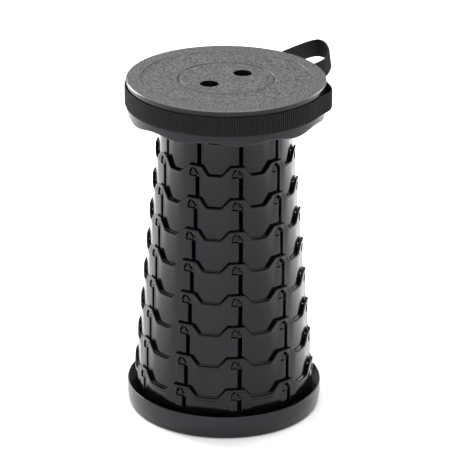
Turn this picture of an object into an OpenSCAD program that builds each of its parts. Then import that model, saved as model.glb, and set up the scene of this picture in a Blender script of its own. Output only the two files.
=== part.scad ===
// Telescopic camp stool: nested sleeves that draw out of a base tray and lock by lugs in windows.
// Millimetres, +Z up, origin at the centre of the tray's underside, the stool drawn out to full height.
// Angles are measured round the Z axis from the front (-Y), positive towards the right (+X).

/* [Stool] */
// Height of the seat above the ground with every sleeve drawn out
stool_h = 440; // [439:1:446]
// Diameter of the seat
seat_d = 250; // [250:1:256]
// Rise of each sleeve above the sleeve round it
ring_pitch = 41.45; // [41.2:0.05:41.6]
// How far the seat itself drops when the stool is closed
seat_travel = 33; // [30:0.5:33]

/* [Sleeves] */
// Outer radius of the smallest visible sleeve
top_ring_r = 83.8; // [83.4:0.1:84]
// Growth in radius from one sleeve to the next
ring_step = 3.88; // [3.85:0.01:3.95]
// Thickness of a sleeve's wall
ring_wall = 2.4; // [2.2:0.1:2.5]
// Height of a sleeve, from its lower edge to the top of its tabs
ring_h = 56.6; // [56.4:0.2:57.2]
// Height of the tabs along a sleeve's upper edge
tab_h = 12; // [10:0.5:13]
// Radius of the rounded corners along the tabs
tab_round = 3.4; // [2:0.2:4]
// Turn of each sleeve's slots against the sleeve below, in degrees
column_lean = 0.41; // [0:0.01:0.6]

/* [Lock] */
// Width of the long slot
slot_w = 5.2; // [4.4:0.1:5.4]
// Height of the lock window
window_h = 11.2; // [11:0.1:11.6]
// Width of a lock lug
lug_w = 8; // [7:0.1:8]
// Height of a lock lug
lug_h = 8.8; // [8:0.1:9]
// Distance from the slot's middle to the middle of a locked lug
lock_shift = 6.2; // [6:0.1:6.4]

/* [Base tray] */
// Height of the tray's rim
tray_h = 30; // [26:0.5:30]
// Thickness of the tray's floor
tray_floor = 2.5; // [2:0.1:3]

/* [Seat] */
// Diameter of the hatch in the seat
hatch_d = 121.2; // [120:0.2:122]
// Gap round the hatch lid
hatch_gap = 0.9; // [0.5:0.1:1.2]
// Diameter of each finger hole in the hatch lid
finger_d = 23.5; // [20:0.5:24]
// Width of the raised band round the seat
band_w = 18.5; // [15:0.5:22]

/* [Carry strap] */
// Width of the webbing
strap_w = 25; // [20:1:26]
// Thickness of the webbing
strap_t = 1.9; // [1.5:0.1:2]
// How far the slack part of the strap stands off the seat
strap_slack = 6.6; // [4:0.2:7]

/* [Hidden] */
ring_count = 9;

eps = 0.5;                    // overlap that makes two solids of one moulding join
moving_gap = 0.3;             // clearance between pieces that slide
columns = 10;                 // slots, tabs and lugs round each sleeve
column_turn = 360 / columns;
base_slot_angle = 10.1;       // place of the base sleeve's first slot
seam_turn = 6.5;              // keeps the seam of the round faces off the cut edges
round_steps = 2;              // straight pieces in each small rounded corner
full = 96;                    // facets of a full turn

black = "#2c2c2e";
dark = "#333438";
grey = "#78777b";
webbing = "#29292a";
steel = "#8c8f93";

base_ring_top = stool_h - 45.4 - (ring_count - 1) * ring_pitch;
seat_r = seat_d / 2;

// Sleeve k: 0 is the seat's own collar and ring_count the one that stands in the tray.
function ring_r(k) = top_ring_r + (k - 1) * ring_step;
function ring_top(k) = base_ring_top + (ring_count - k) * ring_pitch;
function foot_low(k) = k == ring_count ? tray_land : ring_top(k) - ring_h;
function slot_angle(k) = base_slot_angle + (ring_count - k) * column_lean;
function lug_angle(k) = slot_angle(k + 1) - asin(lock_shift / ring_r(k + 1));

// Heights on a sleeve, down from the top of its tabs
window_top = 2.9;
window_sill = window_top + window_h;
lug_lift = 0.15;              // play between a locked lug and the sill
lug_low = window_sill - lug_lift;
slot_end = ring_h - 6.1;
channel_end = lug_low + ring_pitch + 0.1;
guide_h = 4;
guide_r = ring_step - ring_wall - moving_gap;

// Each wall is thinned from inside, so that the lug of the sleeve within can pass behind its skin.
skin = ring_wall / 2;
lug_out = ring_step - skin - 0.35;
channel_side = 0.7;
window_left = lock_shift + lug_w / 2 + 0.9;
window_right = slot_w / 2 + 0.1;

// The valley between two tabs: in degrees, its middle from the slot's middle, then its shoulders and
// the left end of its floor from its own middle; in millimetres, the run of its right-hand slope
valley_at = 15.5;
valley_shoulder = 12.1;
valley_floor = 6.6;
valley_run = 11.5;

tray_wall = 2.4;
tray_r = seat_r - 0.1;
tray_land = 4;
foot_flange_h = 3;
foot_flange_r = tray_r - tray_wall - moving_gap;

panel_t = 3.2;
panel_low = stool_h - panel_t;
band_rise = 0.9;
lip_h = 2.2;
lip_bevel = 1.2;
skirt_r = seat_r - 0.8;
skirt_wall = 2.6;
skirt_low = stool_h - 46.5;
wave_h = 4.5;
wave_shift = 9;               // the wave's low points sit at the windows
skirt_seam = 1.4;             // keeps the seam of the round faces off the wave's corners
deck_t = 2.3;
deck_low = panel_low - deck_t;
flange_t = 3;
flange_low = deck_low - flange_t;

hatch_r = hatch_d / 2;
lid_r = hatch_r - hatch_gap;
lid_ledge = 5.4;
lid_drop = 0.3;
finger_at = 20.6;             // each finger hole's distance from the lid's two centre lines
lid_bevel_w = 2.6;
bayonet_count = 3;
bayonet_turn = 18;
bayonet_reach = 3.4;
bayonet_wall = 3;
bayonet_t = 2.4;
bayonet_gap = 0.4;

screw_count = 6;
screw_circle = 70;
screw_r = 1.75;
screw_head_r = 3.6;
screw_head_h = 2.2;
screw_bite = 1.4;             // depth of the screw in the panel
boss_r = 4;

strap_top = stool_h - 7.4;
strap_low = strap_top - strap_w;
strap_stand = 0.7;            // gap between the strap and the skirt
strap_r = skirt_r + strap_stand + strap_t / 2;
strap_slot_w = 6.4;
strap_slot_h = strap_w + 2;
strap_tail_r = skirt_r - skirt_wall - 0.6;
slack_at = 81;
slack_half = 15;
wrap_from = 97;
wrap_to = -195;
// Turns, in degrees past each end of the wrap, at which the strap ends and its slot is cut
tail_turn = 2.2;
slot_turn = 1.4;
// The carry loop's middle line in plan, from one slot in the skirt out to the hand grip and back
loop_route = [[58, 105], [62, 110.5], [71, 124.5], [87, 146], [101.5, 164], [111.5, 173.5], [118.5, 177],
    [125, 173.5], [130.3, 163], [133, 147], [133, 128], [128.5, 104.5], [120, 88.5], [110, 75.5], [104.5, 69.5],
    [101, 65]];

function on_circle(r, a, z = 0) = [r * sin(a), -r * cos(a), z];

// Points of a rounded corner at q, between its neighbours p and s
function corner(p, q, s, r) =
    let (u = (p - q) / norm(p - q), v = (s - q) / norm(s - q), half = acos(u * v) / 2,
         reach = min(r / tan(half), norm(p - q) * 0.45, norm(s - q) * 0.45),
         a = q + u * reach, b = q + v * reach)
    [for (i = [0:round_steps]) let (t = i / round_steps)
        (1 - t) * (1 - t) * a + 2 * t * (1 - t) * q + t * t * b];

// A closed outline whose corners are rounded, each by its own radius
function rounded(pts, radii) =
    let (n = len(pts))
    [for (i = [0:n - 1]) each (radii[i] == 0 ? [pts[i]]
        : corner(pts[(i + n - 1) % n], pts[i], pts[(i + 1) % n], radii[i]))];

// Extrudes an outline, drawn as seen from outside, along the radius at angle a
module radial_prism(a, from_r, to_r) {
    rotate([0, 0, a]) translate([0, -from_r, 0]) rotate([90, 0, 0])
        linear_extrude(to_r - from_r) children();
}

module at_columns(first) {
    for (i = [0:columns - 1]) rotate([0, 0, i * column_turn + first]) children();
}

module tube(outer, inner, h) {
    difference() {
        cylinder(r = outer, h = h, $fn = full);
        translate([0, 0, -1]) cylinder(r = inner, h = h + 2, $fn = full);
    }
}

// ---------- Sleeves ----------

// The gap between two tabs, open at the top
module valley_outline(k) {
    r = ring_r(k);
    top = ring_top(k);
    floor_z = top - tab_h;
    side = r * sin(valley_shoulder);
    polygon(rounded([[-side - 6, top + 1.2], [-side, top], [-r * sin(valley_floor), floor_z],
        [side - valley_run, floor_z], [side, top], [side + 6, top + 1.2], [side + 6, top + 4], [-side - 6, top + 4]],
        [0, tab_round, tab_round, tab_round, tab_round, 0, 0, 0]));
}

module window_outline(k) {
    top = ring_top(k) - window_top;
    sill = ring_top(k) - window_sill;
    polygon(rounded([[-window_left, sill], [-window_left, top - 5.5], [-window_left + 2.7, top],
        [-window_left + 7.3, top], [window_right, top - 7.5], [window_right, sill]],
        [0.8, 1.2, 1.6, 1.6, 1.2, 0]));
}

module lug_outline(z) {
    half = lug_w / 2;
    polygon(rounded([[-half, z], [half, z], [half, z + lug_h * 0.38], [1, z + lug_h], [-1, z + lug_h],
        [-half, z + lug_h * 0.38]], [2, 2, 1.2, 0.8, 0.8, 1.2]));
}

// The whole wall, with a band round its foot that stands out by reach
module ring_wall_body(k, reach, band_h) {
    r = ring_r(k);
    low = foot_low(k);
    rotate_extrude($fn = full) polygon([[r - ring_wall, low], [r + reach - 0.6, low], [r + reach, low + 0.6],
        [r + reach, low + band_h - 0.6], [r + reach - 0.6, low + band_h], [r + 0.4, low + band_h],
        [r, low + band_h + 1], [r, ring_top(k)], [r - ring_wall, ring_top(k)]]);
}

module lugs(k) {
    at_columns(lug_angle(k)) radial_prism(0, ring_r(k) - eps, ring_r(k) + lug_out)
        lug_outline(ring_top(k + 1) - lug_low);
}

// The sleeve is drawn with its columns at seam_turn, so that the seam of its round faces falls
// on a plain stretch of wall, and then turned to its place.
module sleeve(k, reach, band_h) rotate([0, 0, slot_angle(k) - seam_turn]) {
    r = ring_r(k);
    top = ring_top(k);
    difference() {
        ring_wall_body(k, reach, band_h);
        at_columns(seam_turn + valley_at) radial_prism(0, r - 8, r + 4) valley_outline(k);
        at_columns(seam_turn) {
            radial_prism(0, r - 8, r + 4) window_outline(k);
            radial_prism(0, r - 8, r + 4) translate([-slot_w / 2, top - slot_end])
                square([slot_w, slot_end - window_sill + eps]);
        }
        intersection() {
            translate([0, 0, foot_low(k)]) cylinder(r = r - skin, h = top - foot_low(k), $fn = full);
            at_columns(seam_turn) radial_prism(0, r - 8, r + 4)
                translate([-window_left - channel_side, top - channel_end])
                square([window_left + channel_side + window_right, channel_end - window_sill + 2 * eps]);
        }
    }
}

module ring(k) color(dark) {
    sleeve(k, guide_r, guide_h);
    lugs(k);
}

// The base sleeve's foot is a flange that snaps under the tray's catches
module base_ring() color(dark) sleeve(ring_count, foot_flange_r - ring_r(ring_count), foot_flange_h);

// ---------- Base tray ----------

module base_tray() color(black) {
    catch_low = tray_land + foot_flange_h + 0.1;
    rotate_extrude($fn = full) polygon(concat([[0, 0]],
        [for (i = [0:6]) [tray_r - 5 + 3.6 * sin(i * 15), 3.6 - 3.6 * cos(i * 15)]],
        [[tray_r, 9], [tray_r, tray_h - 0.8], [tray_r - 0.8, tray_h], [tray_r - tray_wall + 0.6, tray_h],
         [tray_r - tray_wall, tray_h - 0.8], [tray_r - tray_wall, tray_land], [ring_r(ring_count) - 9, tray_land],
         [ring_r(ring_count) - 10, tray_floor], [0, tray_floor]]));
    intersection() {
        rotate_extrude($fn = full) polygon([[tray_r - tray_wall + eps, catch_low], [tray_r - tray_wall - 1.2, catch_low],
            [tray_r - tray_wall - 1.2, catch_low + 0.8], [tray_r - tray_wall + eps, catch_low + 3.5]]);
        at_columns(0) translate([-6, -tray_r, 0]) cube([12, 20, tray_h]);
    }
}

// ---------- Seat ----------

module screw_places() {
    for (i = [0:screw_count - 1]) rotate([0, 0, i * 360 / screw_count]) translate([screw_circle, 0, 0]) children();
}

// The smallest sleeve hangs from the seat by its inward flange
module seat_collar() color(dark) {
    r = ring_r(0);
    low = foot_low(0);
    difference() {
        union() {
            rotate_extrude($fn = full) polygon([[r - ring_wall, low], [r + guide_r - 0.6, low],
                [r + guide_r, low + 0.6], [r + guide_r, low + guide_h - 0.6], [r, low + guide_h + 1],
                [r, deck_low], [hatch_r + 3, deck_low], [hatch_r + 3, flange_low], [r - ring_wall, flange_low]]);
            lugs(0);
        }
        screw_places() translate([0, 0, flange_low - 1]) cylinder(r = screw_r + 0.3, h = flange_t + 2, $fn = 32);
    }
}

function wave_z(a) = skirt_low + wave_h * (1 - cos(columns * (a - wave_shift))) / 2;

module wave_cutter() {
    half = column_turn / 2;
    steps = 12;
    at_columns(wave_shift) radial_prism(0, skirt_r - 20, skirt_r + 8) polygon(concat(
        [[-skirt_r * tan(half), skirt_low - 3]],
        [for (i = [0:steps]) let (a = -half + i * column_turn / steps)
            [skirt_r * (abs(a) < half ? sin(a) : tan(a)), wave_z(a + wave_shift)]],
        [[skirt_r * tan(half), skirt_low - 3]]));
}

module strap_slot(a) {
    rotate([0, 0, a]) translate([-strap_slot_w / 2, -skirt_r - 2, strap_low - 1])
        cube([strap_slot_w, skirt_wall + 5, strap_slot_h]);
}

// The side of the seat, with a ledge inside that the deck lies on
module seat_skirt() color(black) {
    ledge_r = skirt_r - skirt_wall - 1.8;
    difference() {
        rotate([0, 0, skirt_seam]) rotate_extrude($fn = full) polygon([[skirt_r - skirt_wall, skirt_low],
            [skirt_r, skirt_low], [skirt_r, panel_low], [skirt_r - skirt_wall, panel_low],
            [skirt_r - skirt_wall, deck_low], [ledge_r, deck_low], [ledge_r, deck_low - 0.6],
            [skirt_r - skirt_wall, deck_low - 2.4]]);
        wave_cutter();
        for (a = [wrap_from + slot_turn, wrap_to - slot_turn, route_angle(1), route_angle(len(loop_route) - 2)]) strap_slot(a);
    }
}

// The plate that carries the sitter: it joins the collar and leaves a ledge for the hatch lid
module seat_deck() color(black) {
    ledge_r = hatch_r - lid_ledge;
    difference() {
        translate([0, 0, deck_low]) tube(skirt_r - skirt_wall - 0.1, ledge_r, deck_t);
        screw_places() translate([0, 0, deck_low - 1]) cylinder(r = boss_r + 0.3, h = deck_t + 2, $fn = 48);
        for (i = [0:bayonet_count - 1])
            bayonet_sector(i, bayonet_turn + 4, ledge_r + bayonet_reach - 1, deck_low - 1, deck_t + 2);
    }
}

module seat_panel() color(grey) {
    difference() {
        union() {
            rotate_extrude($fn = full) polygon([[hatch_r, panel_low], [seat_r - 0.8, panel_low],
                [seat_r - 0.8, stool_h - lip_h], [seat_r, stool_h - lip_h + 0.2], [seat_r, stool_h - lip_bevel],
                [seat_r - lip_bevel, stool_h], [seat_r - band_w, stool_h],
                [seat_r - band_w - 0.9, stool_h - band_rise], [hatch_r + 0.5, stool_h - band_rise],
                [hatch_r, stool_h - band_rise - 0.5]]);
            screw_places() translate([0, 0, deck_low]) cylinder(r = boss_r, h = deck_t + eps, $fn = 48);
        }
        screw_places() translate([0, 0, deck_low - 1]) cylinder(r = screw_r + 0.03, h = deck_t + screw_bite + 1, $fn = 32);
    }
}

module seat_screws() color(steel) {
    screw_places() {
        translate([0, 0, flange_low - screw_head_h]) cylinder(r = screw_head_r, h = screw_head_h, $fn = 48);
        translate([0, 0, flange_low - eps]) cylinder(r = screw_r, h = flange_t + deck_t + screw_bite + eps - 0.2, $fn = 32);
    }
}

// ---------- Hatch ----------

// A block of the ring inside radius r that spans the given turn
module bayonet_sector(i, turn, r, low, h) {
    intersection() {
        translate([0, 0, low]) cylinder(r = r, h = h, $fn = full);
        rotate([0, 0, i * 360 / bayonet_count + 90]) translate([0, 0, low]) linear_extrude(h)
            polygon([[0, 0], [80 * sin(-turn / 2), -80 * cos(turn / 2)], [80 * sin(turn / 2), -80 * cos(turn / 2)]]);
    }
}

module hatch_lid() color(grey) {
    top = stool_h - band_rise;
    hub_r = hatch_r - lid_ledge - bayonet_gap;
    ear_top = deck_low - bayonet_gap;
    difference() {
        union() {
            rotate_extrude($fn = full) polygon([[0, panel_low], [lid_r, panel_low], [lid_r, top - 0.7],
                [lid_r - 0.5, top - 0.3], [lid_r - lid_bevel_w, top - 0.3], [lid_r - lid_bevel_w - 0.4, top], [0, top]]);
            translate([0, 0, ear_top - bayonet_t])
                tube(hub_r, hub_r - bayonet_wall, panel_low - ear_top + bayonet_t + eps);
            difference() {
                for (i = [0:bayonet_count - 1])
                    bayonet_sector(i, bayonet_turn, hub_r + bayonet_reach - 1, ear_top - bayonet_t, bayonet_t);
                translate([0, 0, ear_top - bayonet_t - 1]) cylinder(r = hub_r - 1, h = bayonet_t + 2, $fn = full);
            }
        }
        for (s = [-1, 1]) translate([s * finger_at, s * finger_at, panel_low - 1])
            cylinder(r = finger_d / 2, h = panel_t + 2, $fn = 64);
    }
}

// ---------- Carry strap ----------

function bulge(a) = abs(a - slack_at) > slack_half ? 0 : strap_slack * pow(cos((a - slack_at) * 90 / slack_half), 2);
wrap_route = concat([on_circle(strap_tail_r, wrap_from + tail_turn)],
    [for (i = [0:16]) let (a = wrap_from - i * 2) on_circle(strap_r + bulge(a), a)],
    [for (i = [1:43]) let (a = 65 - i * 6) if (a > wrap_to) on_circle(strap_r, a)],
    [on_circle(strap_r, wrap_to), on_circle(strap_tail_r, wrap_to - tail_turn)]);

function flat(p) = [p[0], p[1]];
function route_angle(i) = atan2(loop_route[i][0], -loop_route[i][1]);

// A curve through every point of a route
function spline(p, steps) = [for (i = [0:len(p) - 2], j = [0:steps - 1])
    let (t = j / steps, a = p[max(i - 1, 0)], b = p[i], c = p[i + 1], d = p[min(i + 2, len(p) - 1)])
    0.5 * (2 * b + (c - a) * t + (2 * a - 5 * b + 4 * c - d) * t * t + (3 * b - a - 3 * c + d) * t * t * t)];

function along(p, i) = let (d = p[min(i + 1, len(p) - 1)] - p[max(i - 1, 0)]) d / norm(d);
function side(p, s) = [for (i = [0:len(p) - 1]) let (d = along(p, i)) p[i] + s * [-d[1], d[0]]];
function reversed(p) = [for (i = [len(p) - 1:-1:0]) p[i]];

// Webbing on edge, along a route in plan
module webbing_along(p) {
    translate([0, 0, strap_low]) linear_extrude(strap_w)
        polygon(concat(side(p, strap_t / 2), reversed(side(p, -strap_t / 2))));
}

module wrap_strap() color(webbing) webbing_along([for (q = wrap_route) flat(q)]);

module carry_loop() color(webbing) webbing_along(concat(spline(loop_route, 4), [loop_route[len(loop_route) - 1]]));

base_tray();
base_ring();  // ring_9
ring(8);  // ring_8
ring(7);  // ring_7
ring(6);  // ring_6
ring(5);  // ring_5
ring(4);  // ring_4
ring(3);  // ring_3
ring(2);  // ring_2
ring(1);  // ring_1
seat_collar();
seat_deck();
seat_skirt();
seat_panel();
seat_screws();
hatch_lid();
wrap_strap();
carry_loop();
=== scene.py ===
# %% [markdown]
# # A telescopic camp stool, piece by piece
#
# The stool is nine moulded sleeves that slide inside each other, a tray that they stand in and a
# round seat that they carry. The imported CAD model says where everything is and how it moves. This
# lesson dresses that model: each sleeve gets its bead, its windows and its lugs as real relief, the
# seat gets its stippled skin, and the strap is woven.

import math

import bmesh
import bpy
import numpy as np
from mathutils import Matrix, Vector
from mathutils.geometry import delaunay_2d_cdt


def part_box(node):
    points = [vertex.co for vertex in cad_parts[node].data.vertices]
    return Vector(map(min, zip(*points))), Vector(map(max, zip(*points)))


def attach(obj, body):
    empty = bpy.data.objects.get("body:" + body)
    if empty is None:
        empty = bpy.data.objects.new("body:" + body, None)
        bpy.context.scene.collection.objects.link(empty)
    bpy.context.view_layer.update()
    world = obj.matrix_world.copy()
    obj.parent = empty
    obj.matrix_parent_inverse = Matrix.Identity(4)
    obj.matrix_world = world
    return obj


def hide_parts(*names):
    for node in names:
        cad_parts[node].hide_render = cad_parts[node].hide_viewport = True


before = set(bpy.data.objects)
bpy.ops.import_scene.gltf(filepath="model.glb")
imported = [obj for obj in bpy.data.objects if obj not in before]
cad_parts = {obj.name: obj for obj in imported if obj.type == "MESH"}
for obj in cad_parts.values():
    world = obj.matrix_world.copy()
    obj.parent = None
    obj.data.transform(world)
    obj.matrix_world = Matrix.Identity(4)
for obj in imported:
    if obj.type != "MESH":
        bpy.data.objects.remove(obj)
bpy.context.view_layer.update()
MM = 0.001

# %% [markdown]
# ## Reading sizes from the frame
#
# Most sizes that the looks share with the CAD model are measured on the CAD nodes, so they can't
# drift away from it. The few that a box or a radius can't give, such as the width of a slot, are
# repeated in the cell that needs them. Lengths are in millimetres until a mesh is written.


# %% Measure the CAD nodes
def node_points(node):
    """The node's vertices in millimetres."""
    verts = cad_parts[node].data.vertices
    flat = np.zeros(len(verts) * 3)
    verts.foreach_get("co", flat)
    return flat.reshape(-1, 3) / MM


def heights(node):
    low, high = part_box(node)
    return low.z / MM, high.z / MM


def radii(node, z_from=-1e9, z_to=1e9):
    """The smallest and largest distance from the axis of the node's points between two heights."""
    points = node_points(node)
    points = points[(points[:, 2] >= z_from) & (points[:, 2] <= z_to)]
    r = np.hypot(points[:, 0], points[:, 1])
    return float(r.min()), float(r.max())


SLEEVES = list(range(1, 10))
sleeve_top = {k: heights(f"ring_{k}")[1] for k in SLEEVES}
sleeve_foot = {k: heights(f"ring_{k}")[0] for k in SLEEVES}
sleeve_in = {}
sleeve_out = {}
for k in SLEEVES:
    sleeve_in[k], sleeve_out[k] = radii(f"ring_{k}", sleeve_top[k] - 0.05)
STEP = sleeve_out[2] - sleeve_out[1]
WALL = sleeve_out[1] - sleeve_in[1]
PITCH = sleeve_top[1] - sleeve_top[2]
SEAT_TOP = heights("seat_panel")[1]
SEAT_R = radii("seat_panel")[1]
SKIRT_LOW = heights("seat_skirt")[0]
SKIRT_IN, SKIRT_R = radii("seat_skirt", SKIRT_LOW, SKIRT_LOW + 12)
DECK_LOW, DECK_TOP = heights("seat_deck")
DECK_IN = radii("seat_deck")[0]
LID_R = radii("hatch_lid")[1]
LID_LOW, LID_TOP = heights("hatch_lid")
STRAP_LOW, STRAP_TOP = heights("wrap_strap")
TRAY_R = radii("base_tray")[1]
TRAY_TOP = heights("base_tray")[1]
print("sleeve radii:", [round(sleeve_out[k], 2) for k in SLEEVES], "wall", round(WALL, 2))
print("seat radius", round(SEAT_R, 2), "top", round(SEAT_TOP, 2), "lid radius", round(LID_R, 2))

# %% [markdown]
# ## Camera, light and floor
#
# A studio shot of a black object is made by what it reflects. The room itself is dim, so the walls
# that face the camera stay dark. One large softbox above lifts the seat to grey and the floor to
# white. Two more wash the floor behind the stool, the left one stronger: the walls mirror that
# bright floor where they turn away, as pale streaks. The lens is long, so the sides hardly
# converge.

# %% Camera
CAMERA_PLACE = Vector((8.9, -3211.9, 1562.6)) * MM
CAMERA_PITCH = math.radians(22.506)
CAMERA_ROLL = math.radians(0.5)
CAMERA_LENS = 211.8
CAMERA_SENSOR = 36

lens = bpy.data.cameras.new("studio_lens")
lens.lens = CAMERA_LENS
lens.sensor_width = CAMERA_SENSOR
lens.clip_start = 0.05
lens.clip_end = 60
camera = bpy.data.objects.new("studio_camera", lens)
bpy.context.scene.collection.objects.link(camera)
camera.matrix_world = (
    Matrix.Translation(CAMERA_PLACE)
    @ Matrix.Rotation(math.pi / 2 - CAMERA_PITCH, 4, "X")
    @ Matrix.Rotation(CAMERA_ROLL, 4, "Z")
)
bpy.context.scene.camera = camera
bpy.context.scene.view_settings.view_transform = "Standard"
bpy.context.scene.view_settings.look = "None"


# %% Lights
def softbox(name, place, aim, width, height, power):
    """A rectangular lamp at place that faces aim, in metres and watts."""
    lamp = bpy.data.lights.new(name, "AREA")
    lamp.shape = "RECTANGLE"
    lamp.size = width
    lamp.size_y = height
    lamp.energy = power
    holder = bpy.data.objects.new(name, lamp)
    holder.location = place
    holder.rotation_mode = "QUATERNION"
    holder.rotation_quaternion = (Vector(aim) - Vector(place)).to_track_quat("-Z", "Y")
    bpy.context.scene.collection.objects.link(holder)


softbox("top_softbox", place=(0.0, 0.1, 2.4), aim=(0, 0, 0.3), width=2.6, height=2.8, power=80)
softbox(
    "left_softbox", place=(-1.6, 1.5, 1.2), aim=(-0.6, 0.6, 0.0), width=1.2, height=1.2, power=60
)
softbox(
    "right_softbox", place=(1.7, 1.4, 1.2), aim=(0.6, 0.6, 0.0), width=1.0, height=1.0, power=22
)

ROOM_GLOW = 0.55
room = bpy.data.worlds.new("studio_room")
bpy.context.scene.world = room
room.use_nodes = True
backdrop = room.node_tree.nodes["Background"]
backdrop.inputs["Color"].default_value = (1.0, 1.0, 1.0, 1)
backdrop.inputs["Strength"].default_value = ROOM_GLOW

# %% [markdown]
# ## Shader maths as plain expressions
#
# A material is a small graph, and most of it is arithmetic. The class below wraps a socket, so that
# `1 - mask` or `ridge * 0.4` adds the Math nodes by itself. Every other node comes from one method,
# `Finish.node`, which sets the node's own settings first and then its sockets.


# %% Signals and finishes
class Signal:
    """A value on its way through a finish: arithmetic on it adds Math nodes."""

    def __init__(self, finish, socket):
        self.finish = finish
        self.socket = socket

    def maths(self, operation, first, second=None, clamp=False):
        values = {0: first}
        if second is not None:
            values[1] = second
        return self.finish.node("Math", {"operation": operation, "use_clamp": clamp}, values)

    def __add__(self, other):
        return self.maths("ADD", self, other)

    def __radd__(self, other):
        return self.maths("ADD", other, self)

    def __sub__(self, other):
        return self.maths("SUBTRACT", self, other)

    def __rsub__(self, other):
        return self.maths("SUBTRACT", other, self)

    def __mul__(self, other):
        return self.maths("MULTIPLY", self, other)

    def __rmul__(self, other):
        return self.maths("MULTIPLY", other, self)

    def sine(self):
        return self.maths("SINE", self)

    def size(self):
        return self.maths("ABSOLUTE", self)

    def at_least(self, other):
        return self.maths("MAXIMUM", self, other)

    def clamped(self):
        return self.maths("ADD", self, 0.0, clamp=True)


class Finish:
    """A material being built. Signals from its nodes can be added, scaled and fed to its shader."""

    def __init__(self, name):
        self.material = bpy.data.materials.new(name)
        self.material.use_nodes = True
        self.tree = self.material.node_tree
        self.shader = self.tree.nodes["Principled BSDF"]

    def node(self, kind, settings=None, sockets=None, out=0):
        """Adds a node, its settings first, and returns the signal from one of its outputs."""
        made = self.tree.nodes.new("ShaderNode" + kind)
        for name, value in (settings or {}).items():
            if name == "stops":
                self.set_stops(made.color_ramp, value)
            else:
                setattr(made, name, value)
        self.feed(made, sockets or {})
        return Signal(self, made.outputs[out])

    def feed(self, made, sockets):
        for name, value in sockets.items():
            if isinstance(value, Signal):
                self.tree.links.new(value.socket, made.inputs[name])
            else:
                made.inputs[name].default_value = value

    def set_stops(self, ramp, stops):
        while len(ramp.elements) < len(stops):
            ramp.elements.new(0.5)
        for element, (place, shade) in zip(ramp.elements, stops):
            element.position = place
            element.color = (shade, shade, shade, 1)

    def place(self):
        """Points in the piece's own frame, in metres."""
        return self.node("TexCoord", out="Object")

    def noise(self, scale, detail=2.0, roughness=0.5, at=None):
        sockets = {"Vector": at or self.place(), "Scale": scale, "Detail": detail}
        sockets["Roughness"] = roughness
        return self.node("TexNoise", None, sockets)

    def mix(self, factor, dark, light):
        """Blends two colours."""
        sockets = {"Factor": factor, 6: dark, 7: light}
        return self.node("Mix", {"data_type": "RGBA"}, sockets, out=2)

    def bump(self, relief, depth, normal=None):
        """A normal that follows relief, a signal whose 0 to 1 is depth metres high."""
        sockets = {"Height": relief, "Distance": depth, "Strength": 1.0}
        if normal:
            sockets["Normal"] = normal
        return self.node("Bump", None, sockets)

    def surface(self, **sockets):
        self.feed(self.shader, {name.replace("_", " "): value for name, value in sockets.items()})
        return self.material


def shade(value, tint=(1.0, 1.0, 1.0)):
    """A colour of one brightness, slightly tinted."""
    return (value * tint[0], value * tint[1], value * tint[2], 1.0)


COOL = (0.90, 0.95, 1.12)
NEUTRAL = (1.0, 1.0, 1.01)

# %% [markdown]
# ## Floor
#
# The floor is a wide pale sheet that runs far behind the stool, so that no horizon shows. Its only
# work is to catch a faint shadow and to throw light up the sleeves.


# %% Floor
def floor_finish():
    finish = Finish("studio_floor")
    mottle = finish.noise(3.0, detail=4.0)
    tone = finish.mix(mottle, shade(0.86), shade(0.9))
    return finish.surface(Base_Color=tone, Roughness=0.75)


FLOOR_HALF = 12.0
FLOOR_BACK = 4
FLOOR_SUNK = 0.0002
bpy.ops.mesh.primitive_plane_add(size=2 * FLOOR_HALF, location=(0, FLOOR_BACK, -FLOOR_SUNK))
floor = bpy.context.object
floor.name = "studio_floor"
floor.data.materials.append(floor_finish())

# %% [markdown]
# ## Moulded plastic
#
# Polypropylene comes out of a polished mould with a soft sheen, faint flow marks and, after a few
# trips, fine scuffs on whatever stands proud. Sleeves, tray and skirt share that recipe and differ
# in how glossy the mould was. The seat is stippled: thousands of rounded dots, about two
# millimetres apart, break its reflections up so that it looks grey beside the sleeves.


# %% Moulded plastic finish
DRAWN_OUT = 0.25
SCUFF = 0.1
SCUFF_STOPS = [(0.60, 0.0), (0.72, 1.0)]
SCUFF_PALER = 2.4
SCUFF_ROUGHER = 0.12
FLOW_DEPTH = 0.00006
GRAIN_DEPTH = 0.000012
COOL_SHEEN = (0.90, 0.93, 1.0, 1.0)


def moulded(name, tone, gloss, flow=0.05, sheen=0.4):
    """Satin plastic: tone is its brightness, gloss its roughness, sheen its reflectance."""
    finish = Finish(name)
    place = finish.place()
    drawn = finish.node("Mapping", None, {"Vector": place, "Scale": (1.0, 1.0, DRAWN_OUT)})
    marks = finish.noise(60.0, detail=3.0, at=drawn)
    grain = finish.noise(2600.0, detail=2.0, at=place)
    scratch_sockets = {"Vector": place, "Scale": 420.0, "Detail": 5.0, "Distortion": 1.4}
    scratches = finish.node("TexNoise", {"noise_dimensions": "3D"}, scratch_sockets)
    scuffs = finish.node("ValToRGB", {"stops": SCUFF_STOPS}, {"Fac": scratches})
    # Here it holds only real wear: the scuffs, which are paler.
    wear_and_rib_shade = (scuffs * SCUFF).clamped()
    colour = finish.mix(wear_and_rib_shade, shade(tone, COOL), shade(tone * SCUFF_PALER, NEUTRAL))
    roughness = gloss + (marks - 0.5) * (flow * 2) + wear_and_rib_shade * SCUFF_ROUGHER
    flowed = finish.bump(marks, FLOW_DEPTH)
    return finish.surface(
        Base_Color=colour,
        Roughness=roughness,
        Normal=finish.bump(grain, GRAIN_DEPTH, flowed),
        IOR=1.49,
        Specular_IOR_Level=sheen,
        Specular_Tint=COOL_SHEEN,
    )


# %% Stippled plastic finish
LIP_POLISH = 1.6
STEP_AT = 19.0
SIDE_BELOW = 1.40
DOTS_FADE = 1.9
GRAIN_CONTRAST = 4.6
PIT_TINT = (1.0, 0.99, 1.08)
DOT_TINT = (1.0, 0.985, 1.08)
POLISHED_ROUGHNESS = 0.24


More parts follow.
